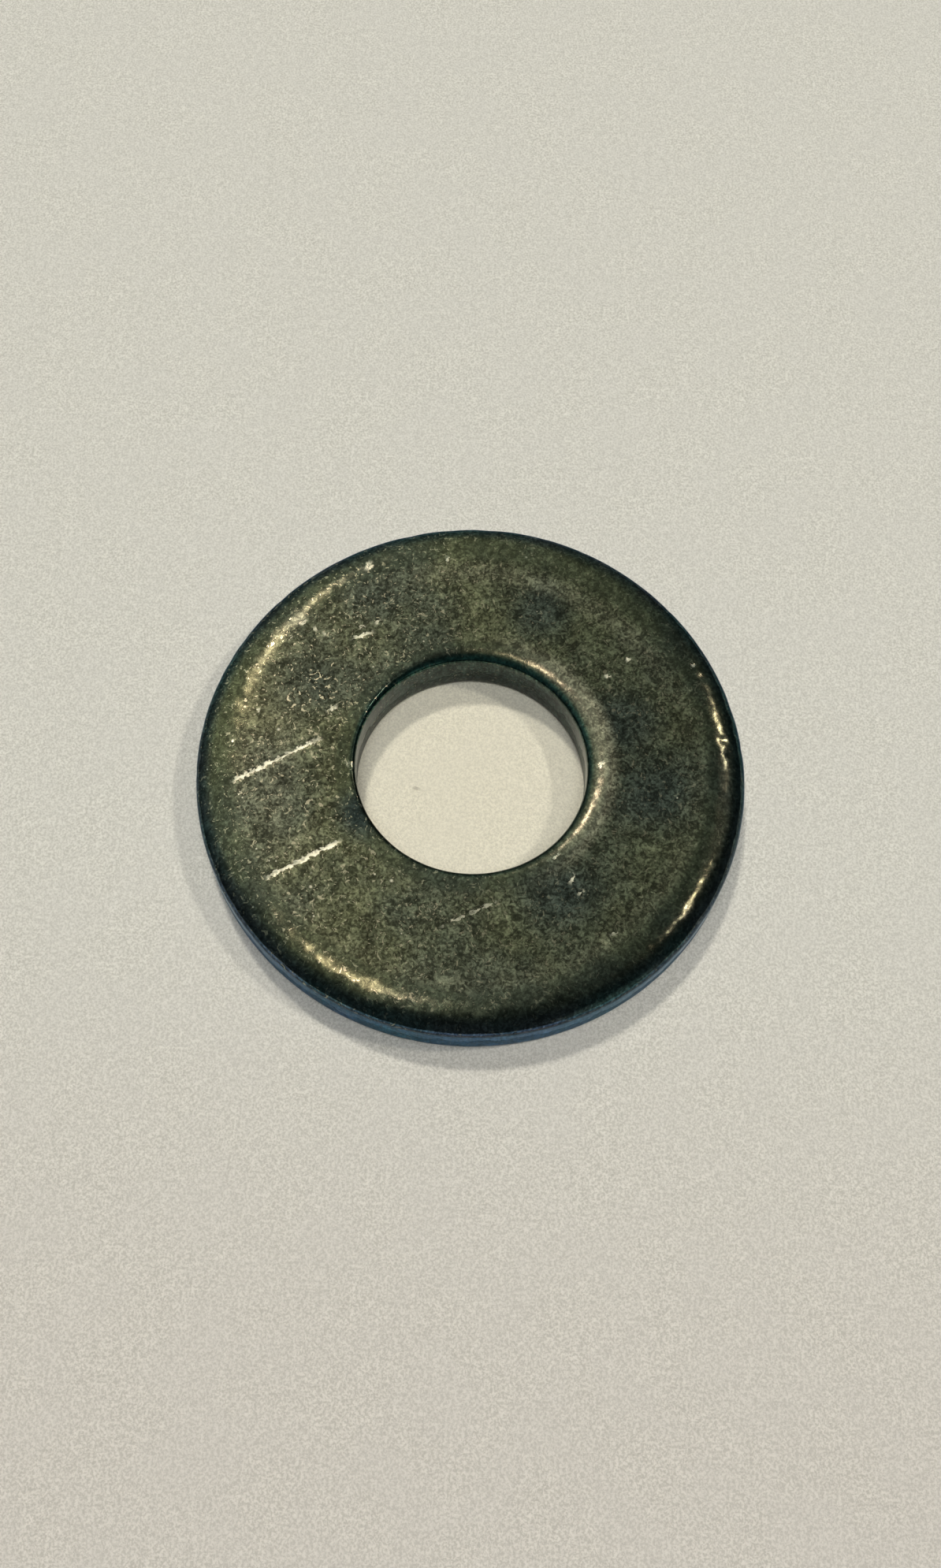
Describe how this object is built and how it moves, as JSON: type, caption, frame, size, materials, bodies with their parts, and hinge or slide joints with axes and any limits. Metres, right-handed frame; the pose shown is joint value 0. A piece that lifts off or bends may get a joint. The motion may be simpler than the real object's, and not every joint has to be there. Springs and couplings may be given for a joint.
{
  "type": "flat washer",
  "caption": "Thick flat steel washer with softly rolled edges, which spreads a bolt's clamping load around its hole.",
  "frame": {"origin": "centre of the underside, on the axis of the hole", "axes": "+Z along the hole, out of the face with the larger rolled edges"},
  "size_m": [0.0226, 0.0226, 0.0023],
  "materials": {
    "steel": "dark grey passivated finish, tumbled, satin, with fine scratches and dents"
  },
  "bodies": {
    "root": {"washer": "steel"}
  },
  "joints": []
}
